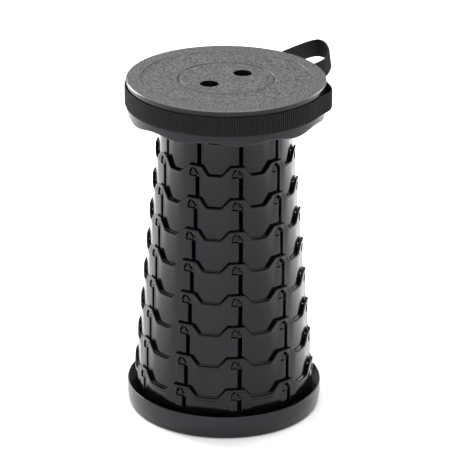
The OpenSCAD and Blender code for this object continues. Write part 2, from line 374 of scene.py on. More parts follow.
def stippled(name, tone, gloss, dot_mm, depth_mm):
    """Plastic from a spark-eroded mould: a dense field of rounded dots, with polished edges, and
    painted shade on the band's step and on the low sides.
    """
    finish = Finish(name)
    place = finish.place()
    level = finish.node("VectorMath", {"operation": "MULTIPLY"}, {0: place, 1: (1.0, 1.0, 0.0)})
    radius = finish.node("VectorMath", {"operation": "LENGTH"}, {0: level}, out="Value")
    height = finish.node("SeparateXYZ", None, {"Vector": place}, out="Z")
    lip = ((radius - (SEAT_R - LIP_POLISH) * MM) * 4000.0).clamped()
    # Painted shade: a dark ring is painted on the step inside the raised band (the step mask).
    step = (1.6 - (radius - (SEAT_R - STEP_AT) * MM).size() * 1500.0).clamped()
    # Painted shade: everything of this finish lower than SIDE_BELOW under the seat top, such as the
    # walls of the hatch opening and of the lid and the underside of the lip, is painted near black
    # (the side mask).
    side = (((SEAT_TOP - SIDE_BELOW) * MM - height) * 6000.0).clamped()
    polished = lip.at_least(step).at_least(side)
    cell_sockets = {"Vector": place, "Scale": 1 / (dot_mm * MM), "Smoothness": 0.5}
    cells = finish.node("TexVoronoi", {"feature": "SMOOTH_F1"}, cell_sockets)
    dots = (1.15 - cells * DOTS_FADE).clamped()
    coarse = finish.noise(1 / (dot_mm * MM * 1.1), detail=2.0, roughness=0.6, at=place)
    patches = finish.noise(14.0, detail=3.0, at=place)
    grain = (dots * 0.5 + (coarse - 0.45) * GRAIN_CONTRAST).clamped()
    stipple = finish.mix(grain, shade(tone * 0.25, PIT_TINT), shade(tone * 2.1, DOT_TINT))
    # lip_tone is the polished lip's own colour; the step's tone is painted shade.
    lip_tone, step_painted_shade = shade(tone * 1.3, NEUTRAL), shade(tone * 0.35, NEUTRAL)
    dark = finish.mix(step.at_least(side), lip_tone, step_painted_shade)
    # tone * 0.1 is the painted shade of the low sides.
    colour = finish.mix(polished, stipple, finish.mix(side, dark, shade(tone * 0.1)))
    rough = gloss + (patches - 0.5) * 0.10 - dots * 0.05
    roughness = rough * (1 - polished) + polished * POLISHED_ROUGHNESS
    normal = finish.bump(grain * (1 - polished), depth_mm * MM)
    return finish.surface(Base_Color=colour, Roughness=roughness, Normal=normal, IOR=1.5)


# %% The finishes of this stool
SLEEVE_FINISH = moulded("sleeve_plastic", 0.004, 0.13, flow=0.015, sheen=0.32)
TRAY_FINISH = moulded("tray_plastic", 0.010, 0.24, flow=0.03)
SKIRT_FINISH = moulded("skirt_plastic", 0.010, 0.27, flow=0.04)
SEAT_FINISH = stippled("seat_plastic", 0.042, 0.50, 2.3, 0.45)
COLLAR_FINISH = moulded("collar_plastic", 0.020, 0.40)


BRUSH_DEPTH = 0.00002


def zinc_finish():
    finish = Finish("screw_zinc")
    brushed = finish.noise(900.0, detail=3.0)
    roughness = 0.32 + brushed * 0.18
    relief = finish.bump(brushed, BRUSH_DEPTH)
    return finish.surface(
        Base_Color=shade(0.52), Metallic=1.0, Roughness=roughness, Normal=relief
    )


SCREW_FINISH = zinc_finish()
print("finishes:", len(bpy.data.materials))

# %% [markdown]
# ## Outlines
#
# All the relief starts as flat outlines: lists of points in millimetres whose corners are rounded
# by short curves. A helper offsets an outline inwards, which gives the rows of points along which
# an edge can roll over.


# %% Outline helpers
CORNER_STEPS = 5
CORNER_SHARE = 0.46


def corner(before, at, after, radius):
    """Points of a rounded corner at one point of an outline."""
    before, at, after = (np.asarray(p, float) for p in (before, at, after))
    u = (before - at) / np.linalg.norm(before - at)
    v = (after - at) / np.linalg.norm(after - at)
    half = math.acos(np.clip(u @ v, -1, 1)) / 2
    reach = radius / math.tan(half)
    for neighbour in (before, after):
        reach = min(reach, np.linalg.norm(neighbour - at) * CORNER_SHARE)
    a, b = at + u * reach, at + v * reach
    along = np.linspace(0, 1, CORNER_STEPS + 1)
    return [(1 - t) ** 2 * a + 2 * t * (1 - t) * at + t * t * b for t in along]


def rounded(points, radius, closed=True):
    """The outline with every corner rounded. radius is one number, or one for each point."""
    count = len(points)
    each = [radius] * count if np.isscalar(radius) else radius
    out = []
    for i, point in enumerate(points):
        if each[i] == 0 or (not closed and i in (0, count - 1)):
            out.append(np.asarray(point, float))
        else:
            out += corner(points[i - 1], point, points[(i + 1) % count], each[i])
    return np.array(out)


def circle(cx, cy, r, count):
    turn = np.linspace(0, 2 * math.pi, count, endpoint=False)
    return np.c_[cx + r * np.cos(turn), cy + r * np.sin(turn)]


def offset(points, distance, closed=True):
    """The outline moved to its left by distance."""
    points = np.asarray(points, float)
    if closed:
        before, after = np.roll(points, 1, 0), np.roll(points, -1, 0)
    else:
        before = np.vstack([2 * points[0] - points[1], points[:-1]])
        after = np.vstack([points[1:], 2 * points[-1] - points[-2]])
    u = points - before
    v = after - points
    u /= np.linalg.norm(u, axis=1)[:, None]
    v /= np.linalg.norm(v, axis=1)[:, None]
    normal = np.c_[-(u + v)[:, 1], (u + v)[:, 0]]
    normal /= np.linalg.norm(normal, axis=1)[:, None]
    miter = np.clip((normal * np.c_[-u[:, 1], u[:, 0]]).sum(1), 0.5, 1)
    return points + normal * (distance / miter)[:, None]


def distance_to(points, line, closed=True):
    """How far each point is from a polyline."""
    a = np.asarray(line, float)
    b = np.roll(a, -1, 0)
    if not closed:
        a, b = a[:-1], b[:-1]
    best = np.full(len(points), 1e9)
    for p, q in zip(a, b):
        d = q - p
        t = np.clip(((points - p) @ d) / max(d @ d, 1e-12), 0, 1)
        gap = points - (p + t[:, None] * d)
        best = np.minimum(best, np.hypot(gap[:, 0], gap[:, 1]))
    return best


def inside(points, loop):
    """Which points lie inside a closed outline."""
    x, y = points[:, 0], points[:, 1]
    within = np.zeros(len(points), bool)
    for (x0, y0), (x1, y1) in zip(loop, np.roll(loop, -1, 0)):
        if y0 == y1:
            continue
        crosses = (y0 > y) != (y1 > y)
        within ^= crosses & (x < (x1 - x0) * (y - y0) / (y1 - y0) + x0)
    return within


def rolled_edge(distance, radius):
    """Height, below zero, of a quarter-round edge at a distance from it."""
    d = np.clip(radius - distance, 0, radius)
    return np.sqrt(np.maximum(radius**2 - d**2, 0)) - radius


def eased(x, from_x, to_x):
    """0 before from_x, 1 after to_x, with a smooth rise between."""
    t = np.clip((x - from_x) / (to_x - from_x), 0, 1)
    return t * t * (3 - 2 * t)


# %% [markdown]
# ## Relief sheets
#
# A moulded wall is a sheet with a front, a back and real thickness. It could be modelled with
# booleans and bevels, but those struggle where a bead, a window and a slot meet. Instead the sheet
# is drawn flat: its outline, its holes and every line where the surface bends go into a constrained
# triangulation. Each point is then lifted by a height function and the flat sheet is wrapped into
# its final place, so that every edge has a true roll and the mesh stays closed.


# %% Relief sheets
def relief_sheet(outline, holes, creases, front, back, wrap, open_x=()):
    """Vertices and triangles of a sheet.

    outline and holes are closed outlines, creases are open or closed polylines given as
    (points, closed). front and back give heights for flat points, and wrap turns flat points with
    heights into space. No side wall is made along the lines x = one of open_x.
    """
    points, edges = [], []

    def constrain(line, closed):
        start = len(points)
        points.extend(Vector(p) for p in line)
        count = len(line)
        last = count if closed else count - 1
        edges.extend((start + i, start + (i + 1) % count) for i in range(last))

    constrain(outline, True)
    for hole in holes:
        constrain(hole, True)
    for line, closed in creases:
        constrain(line, closed)
    verts, _, faces, *_ = delaunay_2d_cdt(points, edges, [], 1, 1e-4)
    flat = np.array([v[:] for v in verts])
    faces = np.array([list(f) for f in faces])
    middle = flat[faces].mean(1)
    keep = inside(middle, outline)
    for hole in holes:
        keep &= ~inside(middle, hole)
    a, b, c = (flat[faces[:, i]] for i in range(3))
    area = (b - a)[:, 0] * (c - a)[:, 1] - (b - a)[:, 1] * (c - a)[:, 0]
    keep &= np.abs(area) > 1e-7
    faces = faces[keep]
    flip = area[keep] < 0
    faces[flip] = faces[flip][:, ::-1]
    used, faces = np.unique(faces, return_inverse=True)
    faces = faces.reshape(-1, 3)
    flat = flat[used]
    top = wrap(flat, front(flat))
    low = wrap(flat, back(flat))
    count = len(flat)
    directed = {}
    for f in faces:
        for i in range(3):
            directed[(f[i], f[(i + 1) % 3])] = True
    sides = []
    for i, j in directed:
        if (j, i) in directed:
            continue
        if any(abs(flat[i, 0] - x) < 1e-3 and abs(flat[j, 0] - x) < 1e-3 for x in open_x):
            continue
        sides.append((j, i, i + count, j + count))
    shell = [tuple(f) for f in faces] + [tuple(count + f[::-1]) for f in faces] + sides
    return np.vstack([top, low]), shell


def turned(profile, segments=256):
    """A closed profile of (radius, height) points turned about the axis."""
    profile = np.asarray(profile, float)
    turn = np.linspace(0, 2 * math.pi, segments, endpoint=False)
    verts = np.array([[r * math.sin(a), -r * math.cos(a), z] for a in turn for r, z in profile])
    n = len(profile)
    faces = []
    for s in range(segments):
        for i in range(n):
            a, b = s * n + i, s * n + (i + 1) % n
            c, d = ((s + 1) % segments) * n + (i + 1) % n, ((s + 1) % segments) * n + i
            faces.append((a, b, c, d))
    return verts, faces


def join(parts):
    """Several (vertices, faces) pairs as one."""
    verts, faces, start = [], [], 0
    for v, f in parts:
        verts.append(v)
        faces += [tuple(i + start for i in face) for face in f]
        start += len(v)
    return np.vstack(verts), faces


def spun(part, angle):
    """The part turned about the axis, in degrees, front towards right."""
    v, f = part
    a = math.radians(angle)
    turn = np.array([[math.cos(a), -math.sin(a), 0], [math.sin(a), math.cos(a), 0], [0, 0, 1]])
    return v @ turn.T, f


SHARP_FROM = 38.0
WELD = 0.002


def make_piece(name, part, body, finish, stands_for):
    """Writes a mesh object in metres, smooth with sharp edges, that rides on a body."""
    verts, faces = part
    mesh = bpy.data.meshes.new(name)
    mesh.from_pydata((verts * MM).tolist(), [], faces)
    bm = bmesh.new()
    bm.from_mesh(mesh)
    bmesh.ops.remove_doubles(bm, verts=bm.verts, dist=WELD * MM)
    bmesh.ops.dissolve_degenerate(bm, edges=bm.edges, dist=WELD * MM * 0.5)
    bmesh.ops.recalc_face_normals(bm, faces=bm.faces)
    bm.to_mesh(mesh)
    open_edges = sum(1 for e in bm.edges if not e.is_manifold)
    bm.free()
    mesh.polygons.foreach_set("use_smooth", [True] * len(mesh.polygons))
    mesh.set_sharp_from_angle(angle=math.radians(SHARP_FROM))
    mesh.materials.append(finish)
    piece = bpy.data.objects.new(name, mesh)
    bpy.context.scene.collection.objects.link(piece)
    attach(piece, body)
    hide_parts(stands_for)
    size = f"{len(mesh.vertices)} points, {len(mesh.polygons)} faces"
    print(f"{name}: {size}, {open_edges} open edges")


# %% [markdown]
# ## The sleeve pattern
#
# Each sleeve repeats one panel ten times: a tab with a house-shaped lock window under it and a long
# slot running down from the window's right side, then a valley. A bead follows the upper edge. The
# panel is drawn once, in millimetres along the wall, and wrapped round the sleeve.

# %% Sizes of the pattern
COLUMNS = 10
COLUMN_TURN = 360 / COLUMNS
BASE_SLOT = 10.1
COLUMN_LEAN = 0.41
TAB_H = 12.0
VALLEY_AT, VALLEY_SHOULDER, VALLEY_FLOOR = 15.5, 12.1, 6.6
VALLEY_RUN = 11.5
TAB_ROUND = 3.4
SLOT_W = 5.2
WINDOW_TOP = 2.9
WINDOW_SILL = 14.1
WINDOW_LEFT = 11.1
LUG_W, LUG_H = 8.0, 8.8
LOCK_SHIFT = 6.2
LUG_LOW = WINDOW_SILL - 0.15
SLOT_END = 50.5
CHANNEL_END = LUG_LOW + PITCH + 0.1
CHANNEL_SIDE = 0.7
SKIN = WALL / 2
LUG_OUT = STEP - SKIN - 0.35
BEAD_W, BEAD_H = 3.3, 0.55
BEAD_FADE = 0.6
BEAD_AT_HOLE = 0.4
EDGE_ROUND = 0.7
BACK_ROUND = 0.35
CHANNEL_RIGHT = SLOT_W / 2 + 0.3
CHANNEL_RIGHT_RIM = SLOT_W / 2 + 0.36
CHANNEL_RIM = 0.06
FACET_TURN = 2.25
GUIDE_H = 4.0
GUIDE_REACH = STEP - WALL - 0.3


def slot_angle(k):
    return BASE_SLOT + (SLEEVES[-1] - k) * COLUMN_LEAN


def lug_angle(k):
    """Where sleeve k's locked lugs stand, in the windows of the sleeve outside it."""
    outside = sleeve_out[1] + k * STEP
    return slot_angle(k + 1) - math.degrees(math.asin(LOCK_SHIFT / outside))


# %% [markdown]
# The bead could be a separate ring, but on the real moulding it is one with the wall. Here it is a
# height: the wall stands half a millimetre proud within 3.3 mm of the upper edge and eases back to
# the panel below it. All free edges roll over by a fixed radius, which is what catches the light.


# %% One panel of a sleeve
def on_wall(r, degrees):
    return r * math.radians(degrees)


def top_line(k):
    """The zigzag upper edge of one panel, left to right, from valley middle to valley middle."""
    r, top = sleeve_out[k], sleeve_top[k]
    floor_z = top - TAB_H
    left, right = VALLEY_AT - COLUMN_TURN, VALLEY_AT
    corners = [
        (on_wall(r, left), floor_z),
        (on_wall(r, left + VALLEY_SHOULDER) - VALLEY_RUN, floor_z),
        (on_wall(r, left + VALLEY_SHOULDER), top),
        (on_wall(r, right - VALLEY_SHOULDER), top),
        (on_wall(r, right - VALLEY_FLOOR), floor_z),
        (on_wall(r, right), floor_z),
    ]
    return rounded(corners, TAB_ROUND, closed=False)


def window_line(k):
    """The window and the slot below it as one hole, anticlockwise from the slot's lower left."""
    top = sleeve_top[k] - WINDOW_TOP
    sill = sleeve_top[k] - WINDOW_SILL
    end = sleeve_top[k] - SLOT_END
    half = SLOT_W / 2
    corners = [
        (-half, end),
        (half, end),
        (half, top - 7.5),
        (-WINDOW_LEFT + 7.3, top),
        (-WINDOW_LEFT + 2.7, top),
        (-WINDOW_LEFT, top - 5.5),
        (-WINDOW_LEFT, sill),
        (-half, sill),
    ]
    return rounded(corners, [0.9, 0.9, 1.6, 1.6, 1.6, 1.4, 1.0, 1.3])


def panel_part(k, foot_reach, foot_h):
    """One of a sleeve's ten panels, wrapped and open at its two sides."""
    r, top, foot = sleeve_out[k], sleeve_top[k], sleeve_foot[k]
    edge = top_line(k)
    hole = window_line(k)
    left, right = edge[0, 0], edge[-1, 0]
    outline = np.vstack([[(left, foot), (right, foot)], edge[::-1]])
    channel_left = -WINDOW_LEFT - CHANNEL_SIDE
    channel_end = top - CHANNEL_END
    sill = top - WINDOW_SILL
    creases = []
    for d in (0.12, 0.35, EDGE_ROUND, EDGE_ROUND + 0.5):
        creases.append((offset(edge, -d, closed=False), False))
        creases.append((offset(hole, -d), True))
    for d in (BEAD_W - BEAD_FADE, BEAD_W - 0.2, BEAD_W + 0.2, BEAD_W + BEAD_FADE):
        creases.append((offset(edge, -d, closed=False), False))
    for z in (foot + foot_h - 0.6, foot + foot_h, foot + foot_h + 1.0):
        creases.append((np.array([(left, z), (right, z)]), False))
    channel_rim = channel_left - CHANNEL_RIM
    for x in (channel_rim, channel_left, CHANNEL_RIGHT, CHANNEL_RIGHT_RIM):
        creases.append((np.array([(x, channel_end - CHANNEL_RIM), (x, sill + 1.0)]), False))
    for z in (channel_end - CHANNEL_RIM, channel_end):
        creases.append((np.array([(channel_rim, z), (CHANNEL_RIGHT_RIM, z)]), False))
    steps = int(round(COLUMN_TURN / FACET_TURN))
    for i in range(1, steps):
        x = left + (right - left) * i / steps
        creases.append((np.array([(x, foot), (x, top + 1)]), False))

    def front(flat):
        to_edge = distance_to(flat, edge, closed=False)
        to_hole = distance_to(flat, hole)
        bead = BEAD_H * (1 - eased(to_edge, BEAD_W - BEAD_FADE, BEAD_W + BEAD_FADE))
        bead *= eased(to_hole, 0.0, EDGE_ROUND + 0.5) * (1 - BEAD_AT_HOLE) + BEAD_AT_HOLE
        band = foot_reach * (1 - eased(flat[:, 1], foot + foot_h - 0.6, foot + foot_h))
        return bead + band + rolled_edge(np.minimum(to_edge, to_hole), EDGE_ROUND)

    def back(flat):
        to_edge = distance_to(flat, edge, closed=False)
        to_hole = distance_to(flat, hole)
        x, z = flat[:, 0], flat[:, 1]
        across = (x > channel_left - 0.03) & (x < SLOT_W / 2 + 0.33)
        channel = across & (z > channel_end - 0.03) & (z < sill + 0.5)
        wall = np.where(channel, -SKIN, -WALL)
        return wall - rolled_edge(np.minimum(to_edge, to_hole), BACK_ROUND)

    def wrap(flat, height):
        turn = flat[:, 0] / r
        return np.c_[(r + height) * np.sin(turn), -(r + height) * np.cos(turn), flat[:, 1]]

    return relief_sheet(outline, [hole], creases, front, back, wrap, open_x=(left, right))


# %% [markdown]
# ## Lock lugs
#
# A lug is a small house-shaped block on a sleeve's foot that sits in the window of the sleeve
# outside. Its edges are rounded like a worn tooth, and the mould's ejector pin leaves a dimple in
# its face. It is its own closed block sunk a little into the wall.


# %% One lug
LUG_SUNK = 0.4
LUG_EAVES = 0.38
DIMPLE_AT = 0.36
DIMPLE_DEPTH = 0.45


def lug_part(k):
    low = sleeve_top.get(k + 1, 0) - LUG_LOW
    r = sleeve_out[1] + (k - 1) * STEP
    half = LUG_W / 2
    corners = [
        (-half, low), (half, low), (half, low + LUG_H * LUG_EAVES),
        (1.0, low + LUG_H), (-1.0, low + LUG_H), (-half, low + LUG_H * LUG_EAVES),
    ]
    outline = rounded(corners, [2.2, 2.2, 1.6, 1.0, 1.0, 1.6])
    dimple = (0.0, low + LUG_H * DIMPLE_AT)
    creases = [(offset(outline, d), True) for d in (0.1, 0.3, 0.6, 0.9, 1.3)]
    creases += [(circle(*dimple, rr, 14), True) for rr in (0.3, 0.6, 0.85, 1.1)]

    def front(flat):
        dent = np.hypot(flat[:, 0] - dimple[0], flat[:, 1] - dimple[1])
        roll = rolled_edge(distance_to(flat, outline), 0.9)
        return LUG_OUT + roll - DIMPLE_DEPTH * (1 - eased(dent, 0.3, 0.95))

    def back(flat):
        return np.full(len(flat), -LUG_SUNK)

    def wrap(flat, height):
        turn = flat[:, 0] / r
        return np.c_[(r + height) * np.sin(turn), -(r + height) * np.cos(turn), flat[:, 1]]

    return relief_sheet(outline, [], creases, front, back, wrap)


# %% Build the nine sleeves
FLANGE_H = 3.0


def sleeve_piece(k):
    base = k == SLEEVES[-1]
    reach, band = GUIDE_REACH, GUIDE_H
    if base:
        reach, band = radii(f"ring_{k}")[1] - sleeve_out[k], FLANGE_H
    panel = panel_part(k, reach, band)
    parts = [spun(panel, slot_angle(k) + i * COLUMN_TURN) for i in range(COLUMNS)]
    if not base:
        lug = lug_part(k)
        parts += [spun(lug, lug_angle(k) + i * COLUMN_TURN) for i in range(COLUMNS)]
    body = "base" if base else f"sleeve_{k}"
    name, node = f"sleeve_{k}_shell", f"ring_{k}"
    make_piece(name, join(parts), body, SLEEVE_FINISH, node)


for k in SLEEVES:
    sleeve_piece(k)

# %% [markdown]
# ## Base tray
#
# The tray is turned: a flat floor, a rounded foot and a rim whose top edge rolls over. Inside, a
# land carries the base sleeve.


# %% Base tray
def arc(cx, cz, r, start, end, steps):
    """Points on a circle, angles in degrees from +radius towards +height."""
    return [
        (cx + r * math.cos(math.radians(a)), cz + r * math.sin(math.radians(a)))
        for a in np.linspace(start, end, steps + 1)
    ]


TRAY_WALL = 2.4
TRAY_FLOOR = 2.5
FOOT_ROUND = 3.6
LAND_W = 9.0


def tray_profile():
    inner = TRAY_R - TRAY_WALL
    land = sleeve_foot[SLEEVES[-1]]
    land_r = sleeve_out[SLEEVES[-1]] - LAND_W
    profile = [(0.01, 0.0), (40.0, 0.0), (90.0, 0.0), (110.0, 0.0)]
    profile += arc(TRAY_R - 1.4 - FOOT_ROUND, FOOT_ROUND, FOOT_ROUND, -90, -8, 10)
    profile += [(TRAY_R - 0.5, 9.0), (TRAY_R, 13.0), (TRAY_R, 22.0), (TRAY_R, TRAY_TOP - 1.3)]
    profile += arc(TRAY_R - 0.9, TRAY_TOP - 0.9, 0.9, 10, 90, 5)
    profile += arc(inner + 0.8, TRAY_TOP - 0.8, 0.8, 95, 180, 5)
    profile += [(inner, TRAY_TOP - 4.0), (inner, land + 0.6), (inner - 0.6, land)]
    profile += [(land_r + 0.4, land), (land_r, land - 0.3), (land_r - 0.6, TRAY_FLOOR)]
    profile += [(80.0, TRAY_FLOOR), (40.0, TRAY_FLOOR), (0.01, TRAY_FLOOR)]
    return profile


make_piece(
    "tray_shell", turned(tray_profile()), "base", TRAY_FINISH, "base_tray"
)

# %% [markdown]
# ## Seat panel
#
# The top is a turned disc with an opening for the hatch. A raised band runs round it, and its lip
# has a narrow bevel that catches a bright line of light above the strap.

# %% Seat panel
HATCH_R = radii("seat_panel", SEAT_TOP - 2.5)[0]
PANEL_LOW = DECK_TOP
BAND_W = 18.5
BAND_RISE = 0.9
LIP_H = 2.2
LIP_BEVEL = 1.2


def panel_profile():
    plateau = SEAT_TOP - BAND_RISE
    band_in = SEAT_R - BAND_W
    lip, bevel, shank = SEAT_TOP - LIP_H, SEAT_TOP - LIP_BEVEL, SEAT_R - 0.8
    profile = [(HATCH_R, PANEL_LOW), (shank, PANEL_LOW), (shank, lip - 0.1)]
    profile += [(SEAT_R - 0.5, lip), (SEAT_R - 0.15, lip), (SEAT_R, lip + 0.15)]
    profile += [(SEAT_R, bevel - 0.1), (SEAT_R - 0.08, bevel + 0.1)]
    profile += [(SEAT_R - LIP_BEVEL + 0.1, SEAT_TOP - 0.08)]
    profile += [(SEAT_R - LIP_BEVEL - 0.3, SEAT_TOP), (SEAT_R - LIP_BEVEL - 2.0, SEAT_TOP)]
    profile += [(band_in + 2.0, SEAT_TOP), (band_in + 0.35, SEAT_TOP)]
    profile += [(band_in, SEAT_TOP - 0.12), (band_in - 0.75, plateau + 0.12)]
    profile += [(band_in - 1.1, plateau), (band_in - 3.0, plateau)]
    profile += [(96.0, plateau), (84.0, plateau), (72.0, plateau)]
    profile += [(HATCH_R + 3.0, plateau), (HATCH_R + 1.2, plateau)]
    profile += [(HATCH_R + 0.55, plateau - 0.25), (HATCH_R, plateau - 0.9)]
    return profile


SCREW_COUNT = 6
SCREW_CIRCLE = 70.0
BOSS_R = 4.0
BOSS_SIDES = 40


def boss_parts():
    """The round bosses under the panel that the screws go into."""
    out = []
    low, high = DECK_LOW, PANEL_LOW + 0.4
    for i in range(SCREW_COUNT):
        a = math.radians(i * 360 / SCREW_COUNT)
        profile = [(0.001, low), (BOSS_R, low), (BOSS_R, high), (0.001, high)]
        verts, faces = turned(profile, BOSS_SIDES)
        place = np.array([SCREW_CIRCLE * math.cos(a), SCREW_CIRCLE * math.sin(a), 0.0])
        out.append((verts + place, faces))
    return out


seat_top = join([turned(panel_profile())] + boss_parts())
make_piece("seat_top_shell", seat_top, "seat", SEAT_FINISH, "seat_panel")

# %% [markdown]
# ## Hatch lid
#
# The lid is a disc with two finger holes. Near its edge the surface steps down to a narrow sloping
# rim, and a small curved arrow is sunk into it to show which way it turns. The arrow is plain
# guidance, so it is drawn as a simple arc with a head.


# %% Hatch lid
FINGER_AT = 20.6
FINGER_R = 11.75
LID_BEVEL = 2.6
LID_SLOPE = 0.45
LID_STEP = 0.4
ARROW_R = 51.5
ARROW_HALF = 0.3
ARROW_FROM, ARROW_TO = -20.0, 2.0
ARROW_TIP = 6
ARROW_HEAD = 2.1
ARROW_DEPTH = 0.7


def arrow_outline():
    """A curved arrow on the lid's right, as a closed outline, angles from +X."""
    turn = np.radians(np.linspace(ARROW_FROM, ARROW_TO, 14))
    outer, inner = ARROW_R + ARROW_HALF, ARROW_R - ARROW_HALF
    far_side = np.c_[outer * np.cos(turn), outer * np.sin(turn)]
    near_side = np.c_[inner * np.cos(turn), inner * np.sin(turn)][::-1]
    end = math.radians(ARROW_TO)
    tip = math.radians(ARROW_TO + ARROW_TIP)
    head = [
        ((ARROW_R + ARROW_HEAD) * math.cos(end), (ARROW_R + ARROW_HEAD) * math.sin(end)),
        (ARROW_R * math.cos(tip), ARROW_R * math.sin(tip)),
        ((ARROW_R - ARROW_HEAD) * math.cos(end), (ARROW_R - ARROW_HEAD) * math.sin(end)),
    ]
    return np.vstack([far_side, head, near_side])


def lid_disc():
    outline = circle(0, 0, LID_R, 192)
    holes = [circle(at, at, FINGER_R, 64) for at in (-FINGER_AT, FINGER_AT)]
    arrow = arrow_outline()
    rim_rows = (0.12, 0.35, 0.65, 1.0, LID_BEVEL, LID_BEVEL + LID_SLOPE)
    creases = [(circle(0, 0, LID_R - d, 192), True) for d in rim_rows]
    creases += [(circle(0, 0, r, 96), True) for r in (LID_R - LID_BEVEL - 1.5, 44.0, 34.0)]
    for at in (-FINGER_AT, FINGER_AT):
        creases += [(circle(at, at, FINGER_R + d, 64), True) for d in (0.2, 0.6, 1.1, 1.8)]
    creases += [(arrow, True), (offset(arrow, 0.12), True)]

    def front(flat):
        r = np.hypot(flat[:, 0], flat[:, 1])
        to_rim = LID_R - r
        to_hole = np.full(len(flat), 1e9)
        for at in (-FINGER_AT, FINGER_AT):
            gap = np.hypot(flat[:, 0] - at, flat[:, 1] - at) - FINGER_R
            to_hole = np.minimum(to_hole, gap)
        rim = -LID_STEP * (1 - eased(to_rim, LID_BEVEL, LID_BEVEL + LID_SLOPE))
        sunk = -ARROW_DEPTH * inside(flat, offset(arrow, 0.06))
        return LID_TOP + rim + sunk + rolled_edge(to_rim, 1.0) + rolled_edge(to_hole, 1.1)

    def back(flat):
        return np.full(len(flat), PANEL_LOW)

    def wrap(flat, height):
        return np.c_[flat[:, 0], flat[:, 1], height]

    return relief_sheet(outline, holes, creases, front, back, wrap)


HUB_WALL = 3
EAR_COUNT = 3
EAR_HALF = 9
EAR_REACH = 2.3
EAR_H = 2.4


def lid_catches():
    """The short tube under the lid and its three ears, which pass the notches in the ledge."""
    hub_r = DECK_IN - 0.4
    low = LID_LOW
    high = PANEL_LOW + 0.3
    inner = hub_r - HUB_WALL
    parts = [turned([(inner, low), (hub_r, low), (hub_r, high), (inner, high)], 192)]
    for i in range(EAR_COUNT):
        turn = np.radians(np.linspace(-EAR_HALF, EAR_HALF, 9) + i * 360 / EAR_COUNT)
        ring = []
        for r in (hub_r - 1.0, hub_r + EAR_REACH):
            ring.append(np.c_[r * np.cos(turn), r * np.sin(turn)])
        loop = np.vstack([ring[1], ring[0][::-1]])
        n = len(loop)
        v = np.vstack([np.c_[loop, np.full(n, low)], np.c_[loop, np.full(n, low + EAR_H)]])
        f = [tuple(range(n))[::-1], tuple(range(n, 2 * n))]
        f += [(j, (j + 1) % n, n + (j + 1) % n, n + j) for j in range(n)]
        parts.append((v, f))
    return parts


lid = join([lid_disc()] + lid_catches())
make_piece("hatch_lid_shell", lid, "hatch", SEAT_FINISH, "hatch_lid")

# %% [markdown]
# ## Seat skirt
#
# The side of the seat is a tube whose lower edge rises and falls ten times, once for each column of
# windows, and rolls in underneath. Four slots at the back let the strap through. It is drawn flat
# at full length and wrapped once round, then its two ends are welded.

# %% Seat skirt
SKIRT_WALL = 2.6
WAVE_H = 4.5
WAVE_AT = 9.0
SKIRT_ROUND = 1.8
SLOT_WIDE, SLOT_TALL = 6.4, STRAP_TOP - STRAP_LOW + 2.0


def wave(turn):
    return SKIRT_LOW + WAVE_H * (1 - np.cos(np.radians(COLUMNS * (turn - WAVE_AT)))) / 2


def skirt_part(slots):
    top = PANEL_LOW
    ends = (-180.0, 180.0)
    turn = np.arange(ends[0], ends[1] + 0.01, 1.5)
    edge = np.c_[SKIRT_R * np.radians(turn), wave(turn)]
    left, right = edge[0, 0], edge[-1, 0]
    outline = np.vstack([edge, [(right, top), (left, top)]])
    holes = []
    for at in slots:
        x = SKIRT_R * math.radians(at)
        x0, x1 = x - SLOT_WIDE / 2, x + SLOT_WIDE / 2
        z0 = STRAP_LOW - 1.0
        z1 = z0 + SLOT_TALL
        holes.append(rounded([(x0, z0), (x1, z0), (x1, z1), (x0, z1)], 1.2))
    edge_rows = (0.12, 0.45, 1.0, SKIRT_ROUND, SKIRT_ROUND + 1.0)
    creases = [(offset(edge, d, closed=False), False) for d in edge_rows]
    for hole in holes:
        creases += [(offset(hole, -d), True) for d in (0.15, 0.5, 1.0)]
    for degrees in np.arange(ends[0] + 1.5, ends[1], 1.5):
        x = SKIRT_R * math.radians(degrees)
        creases.append((np.array([(x, SKIRT_LOW - 1), (x, top)]), False))
    creases.append((np.array([(left, STRAP_LOW - 4), (right, STRAP_LOW - 4)]), False))

    def front(flat):
        height = rolled_edge(distance_to(flat, edge, closed=False), SKIRT_ROUND) * 0.75
        for hole in holes:
            height += rolled_edge(distance_to(flat, hole), 0.5)
        return height

    def back(flat):
        return -SKIRT_WALL - rolled_edge(distance_to(flat, edge, closed=False), 0.4)

    def wrap(flat, height):
        a = flat[:, 0] / SKIRT_R
        return np.c_[(SKIRT_R + height) * np.sin(a), -(SKIRT_R + height) * np.cos(a), flat[:, 1]]

    return relief_sheet(outline, holes, creases, front, back, wrap, open_x=(left, right))


# %% Where the strap runs, and the skirt it passes into
LOOP_ROUTE = [
    (58, 105), (62, 110.5), (71, 124.5), (87, 146), (101.5, 164), (111.5, 173.5),
    (118.5, 177), (125, 173.5), (130.3, 163), (133, 147), (133, 128), (128.5, 104.5),
    (120, 88.5), (110, 75.5), (104.5, 69.5), (101, 65),
]
WRAP_FROM, WRAP_TO = 97.0, -195.0
SLOT_TURN = 1.4
LEDGE_H = 2.4


def route_angle(i):
    return math.degrees(math.atan2(LOOP_ROUTE[i][0], -LOOP_ROUTE[i][1]))


strap_slots = [WRAP_FROM + SLOT_TURN, WRAP_TO + 360 - SLOT_TURN]
strap_slots += [route_angle(1), route_angle(len(LOOP_ROUTE) - 2)]
ledge_in = radii("seat_skirt")[0]
ledge_out = SKIRT_IN + 0.4
ledge = turned([
    (ledge_in, DECK_LOW - 0.6), (ledge_out, DECK_LOW - LEDGE_H),
    (ledge_out, DECK_LOW), (ledge_in, DECK_LOW),
])
seat_skirt = join([skirt_part(strap_slots), ledge])
make_piece("seat_skirt_shell", seat_skirt, "seat", SKIRT_FINISH, "seat_skirt")

